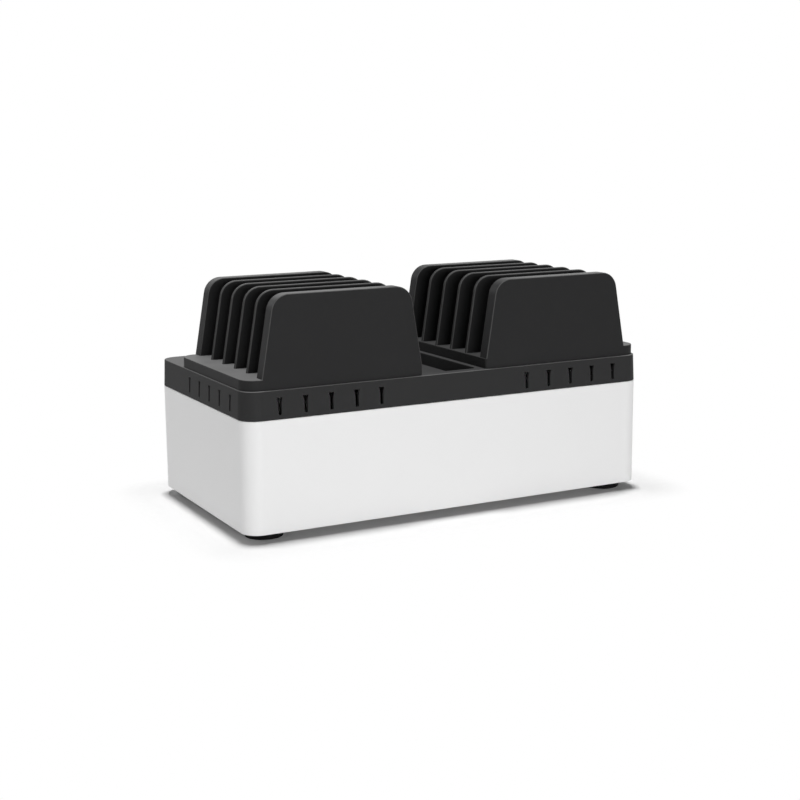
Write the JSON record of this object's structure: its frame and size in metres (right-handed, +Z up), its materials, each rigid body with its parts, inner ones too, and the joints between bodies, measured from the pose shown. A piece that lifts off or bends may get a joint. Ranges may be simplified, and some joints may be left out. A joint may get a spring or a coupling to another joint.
{
  "type": "charging station organizer",
  "caption": "Desktop charging station: white case on rubber feet, charcoal deck with cable slits, and lift-out racks with dividers that stand tablets on edge.",
  "frame": {"origin": "on the table under the middle of the case", "axes": "+X along the long side to the right, +Y from front to back, +Z up"},
  "size_m": [0.45, 0.241, 0.2336],
  "materials": {
    "white_shell": "satin moulded",
    "charcoal_shell": "fine moulded texture",
    "foot_rubber": "matte",
    "strip_shell": "moulded",
    "inlet_plastic": "smooth moulded",
    "contact_metal": "plain",
    "lead_sheath": "soft",
    "screw_steel": "plated"
  },
  "bodies": {
    "base": {"base_case": "white_shell", "foot_front_left": "foot_rubber", "foot_front_right": "foot_rubber", "foot_back_left": "foot_rubber", "foot_back_right": "foot_rubber", "foot_screws": "screw_steel", "outlet_housing": "strip_shell", "outlet_cover": "strip_shell", "live_bar": "contact_metal", "neutral_bar": "contact_metal", "earth_bar": "contact_metal", "strip_mount_screws": "screw_steel", "cover_screws": "screw_steel", "power_inlet": "inlet_plastic", "inlet_pins": "contact_metal", "inlet_screws": "screw_steel", "switch_frame": "inlet_plastic", "switch_terminals": "contact_metal", "inner_leads": "lead_sheath"},
    "power_switch": {"switch_rocker": "inlet_plastic"},
    "deck": {"deck_frame": "charcoal_shell"},
    "left_rack": {"left_tray_base": "charcoal_shell", "left_front_panel": "charcoal_shell", "left_back_panel": "charcoal_shell", "left_divider_1": "charcoal_shell", "left_divider_2": "charcoal_shell", "left_divider_3": "charcoal_shell", "left_divider_4": "charcoal_shell", "left_panel_screws": "screw_steel", "left_tray_pads": "foot_rubber"},
    "right_rack": {"right_tray_base": "charcoal_shell", "right_front_panel": "charcoal_shell", "right_back_panel": "charcoal_shell", "right_divider_1": "charcoal_shell", "right_divider_2": "charcoal_shell", "right_divider_3": "charcoal_shell", "right_divider_4": "charcoal_shell", "right_panel_screws": "screw_steel", "right_tray_pads": "foot_rubber"}
  },
  "joints": [
    {"name": "deck_lift", "type": "slide", "parent": "base", "child": "deck", "axis": [0, 0, 1], "range_m": [0, 0.15]},
    {"name": "left_rack_lift", "type": "slide", "parent": "deck", "child": "left_rack", "axis": [0, 0, 1], "range_m": [0, 0.12]},
    {"name": "right_rack_lift", "type": "slide", "parent": "deck", "child": "right_rack", "axis": [0, 0, 1], "range_m": [0, 0.12]},
    {"name": "switch_rock", "type": "hinge", "parent": "base", "child": "power_switch", "pos_m": [0.108, 0.1148, 0.0772], "axis": [1, 0, 0], "range_deg": [0, 24]}
  ]
}
